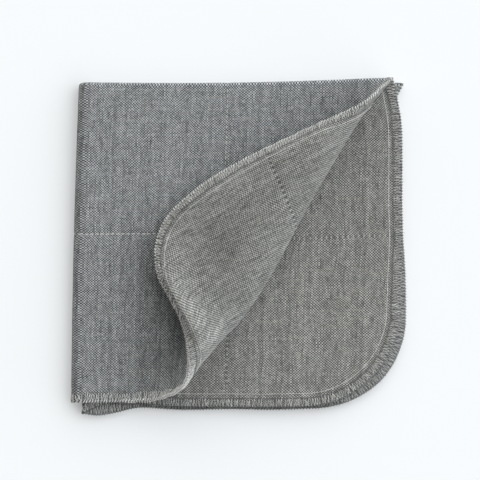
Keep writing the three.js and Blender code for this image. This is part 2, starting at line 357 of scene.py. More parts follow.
def hem_distance(u, v):
    """How far inside the edge of the cut a flat point is."""
    over_u, over_v = np.abs(u) - CORNER_LINE, np.abs(v) - CORNER_LINE
    outside = np.hypot(np.maximum(over_u, 0), np.maximum(over_v, 0))
    return CORNER_RADIUS - outside - np.minimum(np.maximum(over_u, over_v), 0)


def relief(u, v):
    """How far the cloth is lifted from its folded middle surface, in mm."""
    inside = np.maximum(hem_distance(u, v), 0)
    near_edge = np.exp(-inside / PUCKER_WIDTH)
    around = np.arctan2(v, u) * HALF_CUT
    drift = PUCKER_DRIFT * np.sin(around / DRIFT_LENGTH)
    pucker = np.sin(2 * np.pi * around / PUCKER_LENGTH + drift)
    strength = PUCKER_LEAST + PUCKER_CHANGE * np.sin(around / CHANGE_LENGTH + 1)
    lift = PUCKER_HEIGHT * pucker * near_edge * strength
    for crease in np.array(list(CREASES.values())).T:
        start, end, width, height = crease[0:2], crease[2:4], crease[4], crease[5]
        length = np.hypot(*(end - start))
        way = (end - start) / length
        along = (u - start[0]) * way[0] + (v - start[1]) * way[1]
        beside = (u - start[0]) * way[1] - (v - start[1]) * way[0]
        fade = np.sin(np.pi * np.clip(along / length, 0, 1))
        lift += height * fade * np.exp(-((beside / width) ** 2))
    return lift


print("creases placed by hand:", len(CREASES["height"]))

# %% [markdown]
# Cloth has a direction square to it at every point. Two small steps over the flat cloth
# give it, and a piece that lies over or under the cloth, such as a stitch, keeps its
# height along that direction.

# %% The folding function that every piece goes through
NORMAL_STEP = 0.3
CHUNK = 40000


def fold(u, v, height):
    """Row-frame places, in metres, of points at a height over the flat cloth's middle."""
    u, v, height = (np.asarray(values, float) for values in (u, v, height))
    made = []
    for start in range(0, len(u), CHUNK):
        part = slice(start, start + CHUNK)
        steps = (-NORMAL_STEP, NORMAL_STEP)
        left, right = (middle_surface(u[part] + step, v[part]) for step in steps)
        low, high = (middle_surface(u[part], v[part] + step) for step in steps)
        normal = np.cross(high - low, right - left)
        normal /= np.maximum(np.linalg.norm(normal, axis=1, keepdims=True), 1e-9)
        lift = relief(u[part], v[part]) + height[part]
        place = middle_surface(u[part], v[part]) + normal * lift[:, None] + FOLDS_CORNER
        place[:, 2] = np.maximum(place[:, 2], 0)
        made.append(place * MM)
    return np.concatenate(made)


print("folds' corner in mm:", np.round(fold([0.0], [0.0], [0.0])[0] / MM, 1))

# %% [markdown]
# ## The cloth
# The towel is a net of small squares with two sides and a closed edge. Lines stand close
# on the upper half, which is seen, and further apart below. In a round corner the net is
# bent from a square to a quarter disc, so that no square gets thin. A plain grid with
# Subdivision Surface would be shorter, but it spends as many squares where nobody looks.

# %% Net of the flat cut
FINE_STEP = 1.4
COARSE_STEP = 3.6
ROUND_LINES = [0.3, 0.6, 1.0, 1.6, 2.5, 3.7, 5.0]
EDGE_LINES = [HALF_CUT - 3.6, HALF_CUT - 2.2, HALF_CUT - 1.1, HALF_CUT - 0.4, HALF_CUT]


def half_lines(step):
    """Lines from a fold to the edge: close in the fold's round and at the hem."""
    count = round((EDGE_LINES[0] - ROUND_LINES[-1]) / step)
    even_lines = np.linspace(ROUND_LINES[-1], EDGE_LINES[0], count + 1)[1:-1]
    return ROUND_LINES + list(even_lines) + EDGE_LINES


def both_sides(low_step, high_step):
    """Lines over the whole cut: one step below 0 and another above it."""
    low_lines = [-line for line in reversed(half_lines(low_step))]
    return np.array(low_lines + [0] + half_lines(high_step))


def rounded(across, down):
    """Points of a square net, drawn in to the cut's round corners."""
    x = np.maximum(np.abs(across) - CORNER_LINE, 0) / CORNER_RADIUS
    y = np.maximum(np.abs(down) - CORNER_LINE, 0) / CORNER_RADIUS
    u = np.minimum(np.abs(across), CORNER_LINE) + CORNER_RADIUS * x * np.sqrt(1 - y**2 / 2)
    v = np.minimum(np.abs(down), CORNER_LINE) + CORNER_RADIUS * y * np.sqrt(1 - x**2 / 2)
    return np.sign(across) * u, np.sign(down) * v


LINES_U = both_sides(COARSE_STEP, FINE_STEP)
LINES_V = both_sides(FINE_STEP, FINE_STEP)
flat_u, flat_v = rounded(*(grid.ravel() for grid in np.meshgrid(LINES_U, LINES_V)))
print("net of", len(LINES_U), "by", len(LINES_V), "lines")

# %% [markdown]
# Sewing squeezes the plies. The cloth is thinner in the hem, and pinched along each row of
# stitches, also where two lines each way bind the plies to each other. The hem's band is
# wider on the face than on the reverse. A bump in the finish could show the pinches, but
# they would be gone at the cloth's outline, so they are part of its thickness.

# %% Rows of sewing and the thickness over the cut
BAND_WIDTH = 4.7
REVERSE_BAND_WIDTH = 4.1
CHAIN_INSET = 6.8
BINDING_U = (-78, 78)
BINDING_V = (-79.5, 78)
BINDING_PITCH = 2.7
HEM_SQUEEZE = 0.17
SQUEEZE_FADE = 0.6
RIM_DEPTH = 0.16
RIM_FADE = 0.4

# The depth and the half width of each pinch.
BAND_PINCH = (0.14, 0.5)
CHAIN_PINCH = (0.14, 0.6)
BINDING_PINCH = (0.22, 1.3)


def off_lines(place, lines):
    """How far a place across the cut is from the nearer of two binding lines."""
    middle, reach = (lines[1] + lines[0]) / 2, (lines[1] - lines[0]) / 2
    return abs(place - middle) - reach


def pinch(off, depth, half_width):
    return depth * np.exp(-((off / half_width) ** 2))


def half_thickness(u, v):
    inside = hem_distance(u, v)
    squeeze = HEM_SQUEEZE / (1 + np.exp((inside - CHAIN_INSET) / SQUEEZE_FADE))
    band = pinch(inside - REVERSE_BAND_WIDTH, *BAND_PINCH)
    chain = pinch(inside - CHAIN_INSET, *CHAIN_PINCH)
    rim = RIM_DEPTH * np.exp(-np.maximum(inside, 0) / RIM_FADE)
    bound_u = pinch(off_lines(u, BINDING_U), *BINDING_PINCH)
    bound_v = pinch(off_lines(v, BINDING_V), *BINDING_PINCH)
    bound = np.maximum(bound_u, bound_v)
    return THICKNESS / 2 - np.maximum(squeeze + band + chain + rim, bound)


half = half_thickness(flat_u, flat_v)
print("thickness in mm, least and most:", np.round([2 * half.min(), 2 * half.max()], 2))

# %% [markdown]
# Every corner of a face keeps its flat place as a UV, so the weave can be drawn on the
# flat cloth. A second value tells the cloth's face from its reverse, which the turned
# corner and the layer beside it show.

# %% Closed skin of the folded cloth
def make_piece(name, places, faces, flat_places, reverse):
    mesh = bpy.data.meshes.new(name)
    mesh.from_pydata(places.tolist(), [], faces.tolist())
    mesh.polygons.foreach_set("use_smooth", np.ones(len(mesh.polygons), bool))
    corners = np.empty(len(mesh.loops), int)
    mesh.loops.foreach_get("vertex_index", corners)
    on_cut = flat_places[corners] / (2 * HALF_CUT) + 0.5
    mesh.uv_layers.new(name="cut").data.foreach_set("uv", on_cut.astype(np.float32).ravel())
    side = mesh.attributes.new("reverse", "FLOAT", "POINT")
    side.data.foreach_set("value", reverse.astype(np.float32))
    mesh.update()
    piece = bpy.data.objects.new(name, mesh)
    bpy.context.scene.collection.objects.link(piece)
    return piece


columns, rows = len(LINES_U), len(LINES_V)
side_size = rows * columns
corner = (np.arange(rows - 1)[:, None] * columns + np.arange(columns - 1)[None, :]).ravel()
face_side = np.stack([corner, corner + columns, corner + columns + 1, corner + 1], axis=1)
reverse_side = face_side[:, ::-1] + side_size
ring = np.concatenate([
    np.arange(columns - 1),
    np.arange(rows - 1) * columns + columns - 1,
    (rows - 1) * columns + np.arange(columns - 1, 0, -1),
    np.arange(rows - 1, 0, -1) * columns,
])
after = np.roll(ring, -1)
edge = np.stack([ring, after, after + side_size, ring + side_size], axis=1)
towel = make_piece(
    "gauze_towel",
    np.concatenate([fold(flat_u, flat_v, half), fold(flat_u, flat_v, -half)]),
    np.concatenate([face_side, reverse_side, edge]),
    np.tile(np.stack([flat_u, flat_v], axis=1), (2, 1)),
    np.repeat([0, 1], side_size),
)
print("cloth of", len(towel.data.polygons), "faces")

# %% [markdown]
# ## Node trees as plain expressions
# Both materials and Geometry Nodes are trees of nodes. One small class stands for a socket
# and turns + - * / into Math nodes, and one method adds every other node.

# %% A tree of nodes and the terms in it
class Term:
    """An output socket that can be used in an expression."""

    def __init__(self, board, socket):
        self.board, self.socket = board, socket

    def other(self, name):
        return Term(self.board, self.socket.node.outputs[name])

    def math(self, operation, *others):
        values = dict(enumerate((self, *others)))
        return self.board.add("ShaderNodeMath", {"operation": operation}, values)

    def reflected(self, operation, first):
        return self.board.add("ShaderNodeMath", {"operation": operation}, {0: first, 1: self})

    def clamped(self):
        return self.math("MAXIMUM", 0.0).math("MINIMUM", 1.0)

    def __add__(self, value):
        return self.math("ADD", value)

    def __sub__(self, value):
        return self.math("SUBTRACT", value)

    def __rsub__(self, value):
        return self.reflected("SUBTRACT", value)

    def __mul__(self, value):
        return self.math("MULTIPLY", value)

    def __truediv__(self, value):
        return self.math("DIVIDE", value)

    def __pow__(self, value):
        return self.math("POWER", value)

    def __abs__(self):
        return self.math("ABSOLUTE")

    __radd__, __rmul__ = __add__, __mul__


class Board:
    """A node tree, with one method that adds any node."""

    def __init__(self, tree):
        self.tree = tree

    def add(self, kind, settings=None, inputs=None, out=0):
        node = self.tree.nodes.new(kind)
        for name, value in (settings or {}).items():
            setattr(node, name, value)
        for name, value in (inputs or {}).items():
            self.feed(node.inputs[name], value)
        return Term(self, node.outputs[out]) if node.outputs else node

    def feed(self, socket, value):
        if isinstance(value, Term):
            self.tree.links.new(value.socket, socket)
        else:
            socket.default_value = value


print("operators ready:", [name for name in vars(Term) if name.startswith("__r")])

# %% [markdown]
# ## Sewing a row
# The towel has thousands of stitches in a few kinds of row. Each stitch is one small open
# curve. A Geometry Nodes tree repeats it along a seam on the flat cut, with small changes
# of turn and size, and gives it the thickness of its thread. An Array modifier on a curve
# would repeat it too, but all its stitches would be alike.

# %% Tree that sews a row
THREAD_SIDES = 3


def sewn_row_tree():
    tree = bpy.data.node_groups.new("sewn_row", "GeometryNodeTree")
    tree.interface.new_socket("Row", in_out="OUTPUT", socket_type="NodeSocketGeometry")
    for name, kind in {
        "Seam": "Object",
        "Stitch": "Object",
        "Count": "Int",
        "Thread Radius": "Float",
        "Turn": "Float",
        "Size Change": "Float",
        "Seed": "Int",
        "Thread": "Material",
    }.items():
        tree.interface.new_socket(name, in_out="INPUT", socket_type="NodeSocket" + kind)
    board = Board(tree)
    given = board.add("NodeGroupInput")

    def shape_of(name):
        info = board.add("GeometryNodeObjectInfo", inputs={"Object": given.other(name)})
        return info.other("Geometry")

    def chance(name, seed):
        """A number from minus the named input to the input, another one for each stitch."""
        spread = given.other(name)
        inputs = {2: spread * -1, 3: spread, "Seed": given.other("Seed") + seed}
        return board.add("FunctionNodeRandomValue", {"data_type": "FLOAT"}, inputs, out=1)

    seam_points = {"Curve": shape_of("Seam"), "Count": given.other("Count")}
    points = board.add("GeometryNodeCurveToPoints", {"mode": "COUNT"}, seam_points)
    facing = board.add(
        "FunctionNodeAlignRotationToVector",
        {"axis": "X", "pivot_axis": "Z"},
        {"Vector": points.other("Tangent")},
    )
    run = board.add("GeometryNodeSplineParameter").other("Length")
    stitch = board.add(
        "GeometryNodeStoreNamedAttribute",
        {"data_type": "FLOAT", "domain": "POINT"},
        {"Geometry": shape_of("Stitch"), "Name": "run", "Value": run},
    )
    profile = {"Resolution": THREAD_SIDES, "Radius": given.other("Thread Radius")}
    profile = board.add("GeometryNodeCurvePrimitiveCircle", inputs=profile)
    thread = {"Curve": stitch, "Profile Curve": profile, "Fill Caps": True}
    thread = board.add("GeometryNodeCurveToMesh", inputs=thread)

    turn = board.add("ShaderNodeCombineXYZ", inputs={"Z": chance("Turn", 0)})
    sizes = {axis: chance("Size Change", seed) + 1 for seed, axis in enumerate("XYZ", start=1)}
    size = board.add("ShaderNodeCombineXYZ", inputs=sizes)
    placed = {"Points": points, "Instance": thread, "Rotation": facing, "Scale": size}
    row = board.add("GeometryNodeInstanceOnPoints", inputs=placed)
    row = board.add("GeometryNodeRotateInstances", inputs={"Instances": row, "Rotation": turn})
    row = board.add("GeometryNodeRealizeInstances", inputs={"Geometry": row})
    row = board.add("GeometryNodeSetShadeSmooth", inputs={"Geometry": row})
    dressed = {"Geometry": row, "Material": given.other("Thread")}
    row = board.add("GeometryNodeSetMaterial", inputs=dressed)
    board.add("NodeGroupOutput", inputs={"Row": row})
    return tree


SEWN_ROW = sewn_row_tree()
print("sewn_row has", len(SEWN_ROW.nodes), "nodes")

# %% [markdown]
# A seam is a line on the flat cut, and a stitch is a few points beside it. Both are
# written down in millimetres: x runs along the seam, y towards the middle of the cloth
# and z up from it. They are only guides, and leave the scene when the rows are sewn.

# %% Seams and stitches as flat curves
def flat_curve(name, strands, closed=False):
    """Straight-line strands of points on the flat cloth, as a curve object."""
    data = bpy.data.curves.new(name, "CURVE")
    data.dimensions = "3D"
    for strand in strands:
        line = data.splines.new("POLY")
        line.points.add(len(strand) - 1)
        places = np.array([(*point, 0)[:3] + (1,) for point in strand], float)
        places[:, :3] *= MM
        line.points.foreach_set("co", places.ravel())
        line.use_cyclic_u = closed
    item = bpy.data.objects.new(name, data)
    bpy.context.scene.collection.objects.link(item)
    return item


def hem_line(inset):
    """A closed line inside the edge of the cut, the cloth on its left, a point a millimetre."""
    radius = CORNER_RADIUS - inset
    points = []
    for quarter in range(4):
        start = quarter * math.pi / 2
        way = np.array([math.cos(start + math.pi / 4), math.sin(start + math.pi / 4)])
        middle = CORNER_LINE * math.sqrt(2) * way
        turn = np.linspace(start, start + math.pi / 2, round(radius * math.pi / 2) + 1)
        points += [tuple(middle + radius * np.array([math.cos(a), math.sin(a)])) for a in turn]
    return points


def hem_quarters():
    """The edge of the cut as open lines: the top quarter, the second, and the lower two."""
    ring = hem_line(0)
    size = len(ring) // 4
    right, far, left, near = (HALF_CUT, 0), (0, HALF_CUT), (-HALF_CUT, 0), (0, -HALF_CUT)
    arcs = [ring[start:start + size] for start in range(0, 4 * size, size)]
    return {
        "top": [right, *arcs[0], far],
        "second": [near, *arcs[3], right],
        "lower": [far, *arcs[1], left, *arcs[2], near],
    }


def line_length(line):
    return np.linalg.norm(np.diff(np.array(line), axis=0), axis=1).sum()


HEM_LENGTH = 8 * CORNER_LINE + 2 * math.pi * CORNER_RADIUS
hem_seam = flat_curve("hem_seam", [hem_line(0)], closed=True)
print("hem in mm:", round(HEM_LENGTH))

# %% [markdown]
# The tree gives a flat row. Its points are then read as flat places and heights, and go
# through the same folding function as the cloth, so a stitch follows every bend. A
# Shrinkwrap modifier would press all of the thread onto the cloth and lose its own height.

# %% Sewing one row and folding it
def sew(name, seam, strands, count, radius, turn, size_change, seed, thread):
    """A row of stitches as a plain mesh, folded with the cloth."""
    stitch = flat_curve(name + "_stitch", strands)
    row = bpy.data.objects.new(name, bpy.data.meshes.new(name))
    bpy.context.scene.collection.objects.link(row)
    sewing = row.modifiers.new("sewing", "NODES")
    sewing.node_group = SEWN_ROW
    values = {
        "Seam": seam,
        "Stitch": stitch,
        "Count": count,
        "Thread Radius": radius * MM,
        "Turn": turn,
        "Size Change": size_change,
        "Seed": seed,
        "Thread": thread,
    }
    for item in SEWN_ROW.interface.items_tree:
        if item.in_out == "INPUT":
            sewing[item.identifier] = values[item.name]
    evaluated = row.evaluated_get(bpy.context.evaluated_depsgraph_get())
    row.data = bpy.data.meshes.new_from_object(evaluated)
    row.modifiers.clear()
    bpy.data.objects.remove(stitch)

    flat = np.empty(3 * len(row.data.vertices), np.float32)
    row.data.vertices.foreach_get("co", flat)
    u, v, height = flat.reshape(-1, 3).T / MM
    row.data.vertices.foreach_set("co", fold(u, v, height).astype(np.float32).ravel())
    row.data.flip_normals()
    row.data.update()
    print(name, "has", count, "stitches and", len(row.data.polygons), "faces")
    return row


print("a row is sewn from", len(SEWN_ROW.interface.items_tree) - 1, "values")

# %% [markdown]
# ## Gauze
# The gauze is a plain weave of mixed yarn: dark and light fibres are spun together, so
# each thread changes tone along its length. Fourteen threads a centimetre run one way and
# sixteen the other. Threads as geometry would need millions of faces, so they are drawn by
# shader nodes, in millimetres on the flat cut, and follow every fold. A thread is dark or
# light by its own chance, and a crossing shows the thread that lies on top.

# %% Helpers for a finish
def new_finish(name):
    material = bpy.data.materials.new(name)
    material.use_nodes = True
    board = Board(material.node_tree)
    return material, board, material.node_tree.nodes["Principled BSDF"]


def pair(board, x, y):
    return board.add("ShaderNodeCombineXYZ", inputs={"X": x, "Y": y})


def cloudy(board, x, y, detail=1.0):
    inputs = {"Vector": pair(board, x, y), "Scale": 1.0, "Detail": detail}
    return board.add("ShaderNodeTexNoise", {"noise_dimensions": "2D"}, inputs)


def chance(board, x, y):
    inputs = {"Vector": pair(board, x, y)}
    return board.add("ShaderNodeTexWhiteNoise", {"noise_dimensions": "2D"}, inputs)


def mixed(board, first, second, factor=1.0, mode="MIX"):
    settings = {"data_type": "RGBA", "blend_type": mode}
    return board.add("ShaderNodeMix", settings, {0: factor, 6: first, 7: second}, out=2)


print("helpers ready:", ", ".join(maker.__name__ for maker in (pair, cloudy, chance, mixed)))

# %% Threads of the weave
# Pitches and lengths are in mm. WANDER says by how many pitches a thread drifts, and CALM
# over what length. A slub is a slow change of tone along one thread. The DRAW and APART
# values only keep one chance from repeating another.
WARP_PITCH, WEFT_PITCH = 0.73, 0.64
WARP_TONE, WEFT_TONE = 0.60, -0.12
WARP_SLUB, WEFT_SLUB = 0.8, 0.65
WARP_SLUB_LENGTH, WEFT_SLUB_LENGTH = 7, 5
WARP_DRAW, WEFT_DRAW = 3.5, 8.5
THREAD_CHANGE = 0.2
THREADS_APART = 5.17
SLUB_DETAIL = 2.0
WANDER = 2.4
WARP_CALM, WEFT_CALM = 16, 13
WANDERS_APART = 40
CROSSING = 4.0
SPECKLE = 0.25


def weave(board, u, v):
    """The tone of the threads, the warp's own change of tone, and how round they stand."""
    warp_wander = cloudy(board, u / WARP_CALM, v / WARP_CALM) - 0.5
    weft_wander = cloudy(board, u / WEFT_CALM + WANDERS_APART, v / WEFT_CALM) - 0.5
    across, down = u / WARP_PITCH + warp_wander * WANDER, v / WEFT_PITCH + weft_wander * WANDER
    warp, weft = across.math("FLOOR"), down.math("FLOOR")
    warp_round, weft_round = (across * math.pi).math("SINE"), (down * math.pi).math("SINE")

    warp_cloud = cloudy(board, warp * THREADS_APART, v / WARP_SLUB_LENGTH, SLUB_DETAIL) - 0.5
    weft_cloud = cloudy(board, u / WEFT_SLUB_LENGTH, weft * THREADS_APART, SLUB_DETAIL) - 0.5
    warp_slub = (chance(board, warp, WARP_DRAW) - 0.5) * THREAD_CHANGE + warp_cloud * WARP_SLUB
    weft_slub = (chance(board, weft, WEFT_DRAW) - 0.5) * THREAD_CHANGE + weft_cloud * WEFT_SLUB
    warp_tone, weft_tone = warp_slub + WARP_TONE, weft_slub + WEFT_TONE

    over = (warp_round * weft_round * (0.5 * CROSSING) + 0.5).clamped()
    tone = weft_tone + (warp_tone - weft_tone) * over
    tone = tone + (chance(board, warp, weft) - 0.5) * SPECKLE
    return tone, warp_slub, abs(warp_round).math("MAXIMUM", abs(weft_round))


print("threads a centimetre:", round(10 / WARP_PITCH, 1), "by", round(10 / WEFT_PITCH, 1))

# %% [markdown]
# The cloth isn't the same all over. Where the corner is turned back the reverse is slack,
# and its threads differ less but look more streaky. On that corner painted light makes the
# cloth paler near the hem, and painted shade makes it darker further in. Painted shade also
# darkens the groove that the needle line leaves beside the hem's band on the reverse, the
# cloth between the hem's threads, and the small hole that a binding line leaves after each
# stitch. Each is a mask in millimetres on the flat cut.

# %% Masks on the flat cut
MEAN_TONE = 0.24
SLACK_FLATTER = 0.3
SLACK_STREAK = 0.16
REVERSE_DARKER = 0.07
# Painted light near the turned-back corner's hem, and painted shade further in.
SLACK_HEM_PAINTED_LIGHT = 0.12
SLACK_INNER_PAINTED_SHADE = 0.2
INNER_INSET, INNER_FADE = 8.0, 20.0
# Painted shade in the needle line's groove beside the hem's band, on the reverse.
GROOVE_INSET, GROOVE_WIDTH, GROOVE_SHADE = REVERSE_BAND_WIDTH + 0.25, 0.25, 0.4
# Painted shade on the cloth between the hem's threads.
BAND_INSET, BAND_FADE, BAND_SHADE = 4.2, 0.4, 0.3
# Painted shade in the binding lines' holes, deeper on the reverse and the turned-back corner.
HOLE_WIDTH, HOLE_LENGTH = 0.85, 0.55
HOLE_SHADE, REVERSE_HOLE_SHADE, SLACK_HOLE_SHADE = 0.3, 0.25, 0.35
HOLE_START = 100.1  # the whole part only keeps the count of holes above 0


def hem_inset(u, v):
    """hem_distance as an expression of terms."""
    over_u, over_v = abs(u) - CORNER_LINE, abs(v) - CORNER_LINE
    outside = over_u.math("MAXIMUM", 0.0) ** 2 + over_v.math("MAXIMUM", 0.0) ** 2
    inner = over_u.math("MAXIMUM", over_v).math("MINIMUM", 0.0)
    return CORNER_RADIUS - outside.math("SQRT") - inner


def holes(along, beside, lines, reverse):
    """1 in the middle of a binding line's holes, 0 away from them."""
    off_line = off_lines(beside, lines) / HOLE_WIDTH
    count = along / BINDING_PITCH + reverse * 0.5 + HOLE_START
    off_hole = count.math("PINGPONG", 0.5) * (BINDING_PITCH / HOLE_LENGTH)
    return ((off_line**2.0 + off_hole**2.0) * -1).math("EXPONENT")


print("groove at", GROOVE_INSET, "mm from the edge, holes every", BINDING_PITCH, "mm")

# %% Gauze finish
# BODY_SHADE is painted shade in the gaps between the threads.
BODY_SHADE = 0.3
WEAVE_BUMP = 0.4
WEAVE_DEPTH = 0.0002
DARK_YARN = (0.035, 0.036, 0.036, 1)
PALE_YARN = (0.70, 0.71, 0.70, 1)
COOL_TINT = (0.97, 1.0, 1.03, 1)
WARM_TINT = (1.01, 1.005, 0.965, 1)


def gauze_finish():
    material, board, shader = new_finish("grey_gauze")
    cut_map = board.add("ShaderNodeUVMap", {"uv_map": "cut"})
    cut = board.add("ShaderNodeSeparateXYZ", inputs={0: cut_map})
    u, v = ((cut.other(axis) - 0.5) * (2 * HALF_CUT) for axis in "XY")
    reverse = board.add("ShaderNodeAttribute", {"attribute_name": "reverse"}).other("Fac")
    slack = reverse * v.math("GREATER_THAN", 0.0)
    inset = hem_inset(u, v)

    tone, warp_slub, body = weave(board, u, v)
    flatter = (tone - MEAN_TONE) * (1 - slack * SLACK_FLATTER) + MEAN_TONE
    tone = flatter + slack * warp_slub * SLACK_STREAK
    # painted light near the turned-back corner's hem, and painted shade further in
    inner = ((inset - INNER_INSET) / INNER_FADE).clamped()
    slack_painted_light_and_shade = slack * (SLACK_HEM_PAINTED_LIGHT - inner * SLACK_INNER_PAINTED_SHADE)
    tone = tone * (1 - reverse * REVERSE_DARKER + slack_painted_light_and_shade)
    # painted shade in the gaps between the threads
    tone = tone * (body * BODY_SHADE + (1 - BODY_SHADE))

    # painted shade in the needle line's groove, on the reverse only
    groove = ((inset - GROOVE_INSET) / GROOVE_WIDTH) ** 2.0
    groove = (groove * -1).math("EXPONENT") * reverse
    # painted shade on the cloth between the hem's threads
    band = ((BAND_INSET - inset) / BAND_FADE).clamped()
    # painted shade in the binding lines' holes
    hole = holes(v, u, BINDING_U, reverse).math("MAXIMUM", holes(u, v, BINDING_V, reverse))
    hole_shade = reverse * REVERSE_HOLE_SHADE + slack * SLACK_HOLE_SHADE + HOLE_SHADE
    tone = tone * (1 - groove * GROOVE_SHADE) * (1 - band * BAND_SHADE) * (1 - hole * hole_shade)

    yarn = mixed(board, DARK_YARN, PALE_YARN, tone.clamped())
    side_tint = mixed(board, COOL_TINT, WARM_TINT, reverse)
    board.feed(shader.inputs["Base Color"], mixed(board, yarn, side_tint, mode="MULTIPLY"))
    relief_of_threads = {"Strength": WEAVE_BUMP, "Distance": WEAVE_DEPTH, "Height": body - groove}
    board.feed(shader.inputs["Normal"], board.add("ShaderNodeBump", inputs=relief_of_threads))
    shader.inputs["Roughness"].default_value = 0.95
    shader.inputs["Sheen Weight"].default_value = 0.15
    shader.inputs["Specular IOR Level"].default_value = 0.2
    return material


GAUZE = gauze_finish()
towel.data.materials.append(GAUZE)
print("gauze of", len(GAUZE.node_tree.nodes), "nodes")

# %% [markdown]
# ## Sewing thread
# Sewing thread is two yarns turned round each other. A twisted mesh would show that, at
# many faces a stitch. Here each stitch keeps the length run along it, and a wave on that
# length gives the turns. The threads are one finish in five tones, and some tones are painted
# light and painted shade: by their place in the cloth, threads that catch the light are paler
# and threads that lie in a groove are darker.

# %% Thread finish and its tones
PLY_PITCH = 0.45
PLY_TONE = 0.3
PLY_BUMP = 0.4
PLY_DEPTH = 0.0001
FIBRE_SCALE = 900.0
FIBRE_TONE = 1.6
THREAD_TONE = 0.35


def thread_finish(name, colour, depth):
    """A thread of a colour, with the same colour times the depth in its shadows."""
    material, board, shader = new_finish(name)
    run = board.add("ShaderNodeAttribute", {"attribute_name": "run"}).other("Fac") / MM
    place = board.add("ShaderNodeTexCoord").other("Object")
    fibres = {"Vector": place, "Scale": FIBRE_SCALE, "Detail": 2.0}
    fibres = board.add("ShaderNodeTexNoise", inputs=fibres) - 0.5
    ply = (run * (2 * math.pi / PLY_PITCH)).math("SINE") * 0.5 + 0.5
    tone = fibres * FIBRE_TONE + ply * PLY_TONE + THREAD_TONE
    dark = (*(channel * depth for channel in colour), 1)
    board.feed(shader.inputs["Base Color"], mixed(board, dark, (*colour, 1), tone.clamped()))
    turns = {"Strength": PLY_BUMP, "Distance": PLY_DEPTH, "Height": ply}
    board.feed(shader.inputs["Normal"], board.add("ShaderNodeBump", inputs=turns))
    shader.inputs["Roughness"].default_value = 0.8
    shader.inputs["Sheen Weight"].default_value = 0.1
    return material


HEM_THREAD = thread_finish("hem_thread", (0.82, 0.82, 0.79), 0.28)
PALE_THREAD = thread_finish("pale_thread", (0.86, 0.86, 0.84), 0.6)
# A dark thread as painted shade, for rim loops that lie low between the layers.
RIM_SHADE_THREAD = thread_finish("rim_shade_thread", (0.27, 0.28, 0.27), 0.3)
# The needle thread's dark colour is painted shade of the groove it lies in.
NEEDLE_SHADE_THREAD = thread_finish("needle_shade_thread", (0.16, 0.16, 0.16), 0.5)
CHAIN_THREAD = thread_finish("chain_thread", (0.72, 0.72, 0.70), 0.6)
BINDING_THREAD = thread_finish("binding_thread", (0.52, 0.52, 0.50), 0.6)
threads = [HEM_THREAD, PALE_THREAD, RIM_SHADE_THREAD, NEEDLE_SHADE_THREAD, CHAIN_THREAD, BINDING_THREAD]
print("thread finishes:", ", ".join(thread.name for thread in threads))

# %% [markdown]
# ## The overlocked edge
# Two looper threads meet on the rim and run back to the needle line as a row of V shapes,
# on the face and on the reverse. A stitch is a strand from the face over the rim to the
# reverse, and its mirrored twin. A texture would look as good from above, but the towel's
# outline would stay smooth, and here the edge is the part that catches the eye.

# %% Overlock stitches
OVERLOCK_PITCH = 1.5
overlock_count = round(HEM_LENGTH / OVERLOCK_PITCH)
over_face = [(-0.7, BAND_WIDTH, 0.42), (-0.45, 3.1, 0.60), (-0.15, 1.2, 0.58), (0.0, 0.35, 0.50)]
over_reverse = [
    (0.0, 0.35, -0.50),
    (0.15, 1.0, -0.58),
    (0.45, 2.3, -0.60),
    (0.7, REVERSE_BAND_WIDTH, -0.42),
]
strand = over_face + [(0.0, 0.0, 0.0)] + over_reverse
mirrored = [(-x, y, z) for x, y, z in strand]
overlock = sew(
    "overlock", hem_seam, [strand, mirrored], overlock_count,
    radius=0.17, turn=0.25, size_change=0.18, seed=3, thread=HEM_THREAD,
)

# %% [markdown]
# Where the two threads meet they make a thicker loop on the rim. The top quarter's rim
# stands free, and its loops take a paler thread as painted light. The other quarters lie low
# between the layers, and their loops take a dark thread as painted shade, so the loops are
# three rows, each along its own part of the edge.

# %% Loops on the rim, by the quarter of the cut
loop = [
    (-0.45, 1.0, 0.50),
    (-0.2, 0.4, 0.60),
    (0.0, -0.2, 0.42),
    (0.0, -0.3, 0.0),
    (0.0, -0.2, -0.42),
    (0.2, 0.4, -0.60),
    (0.45, 1.0, -0.50),
]
# Painted light on the free top rim's loops, and painted shade on the loops between the layers.
rim_threads_by_light = {"top": PALE_THREAD, "second": RIM_SHADE_THREAD, "lower": RIM_SHADE_THREAD}
rim_loops = []
for seed, (name, line) in enumerate(hem_quarters().items(), start=30):
    rim = flat_curve(f"{name}_rim", [line])
    rim_loops.append(sew(
        f"{name}_rim_loops", rim, [loop], round(line_length(line) / OVERLOCK_PITCH),
        radius=0.26, turn=0.3, size_change=0.18, seed=seed, thread=rim_threads_by_light[name],
    ))

# %% [markdown]
# The needle thread pulls the band together and lies in a groove on both sides, and its dark
# colour is painted shade of that groove. On the reverse a second row, of long pale stitches,
# runs further in. Each row is one more call, because only its points and its thread differ.

# %% Needle line and chain line
NEEDLE_GAP = 0.4
needle_seam = flat_curve("needle_seam", [hem_line(BAND_WIDTH + NEEDLE_GAP)], closed=True)
back_shift = REVERSE_BAND_WIDTH - BAND_WIDTH
needle_face = [(-0.45, 0, 0.3), (-0.25, 0, 0.58), (0.25, 0, 0.58), (0.45, 0, 0.3)]
needle_back = [
    (-0.75, back_shift, -0.35),
    (-0.5, back_shift, -0.56),
    (0.5, back_shift, -0.56),
    (0.75, back_shift, -0.35),
]
needle_line = sew(
    "needle_line", needle_seam, [needle_face, needle_back], overlock_count,
    radius=0.16, turn=0.08, size_change=0.08, seed=5, thread=NEEDLE_SHADE_THREAD,
)
CHAIN_PITCH = 2.6
chain_seam = flat_curve("chain_seam", [hem_line(CHAIN_INSET)], closed=True)
chain_row = [(-1.2, 0, -0.30), (-0.8, 0, -0.55), (0.8, 0, -0.55), (1.2, 0, -0.30)]
chain_line = sew(
    "chain_line", chain_seam, [chain_row], round(HEM_LENGTH / CHAIN_PITCH),
    radius=0.19, turn=0.06, size_change=0.1, seed=7, thread=CHAIN_THREAD,
)

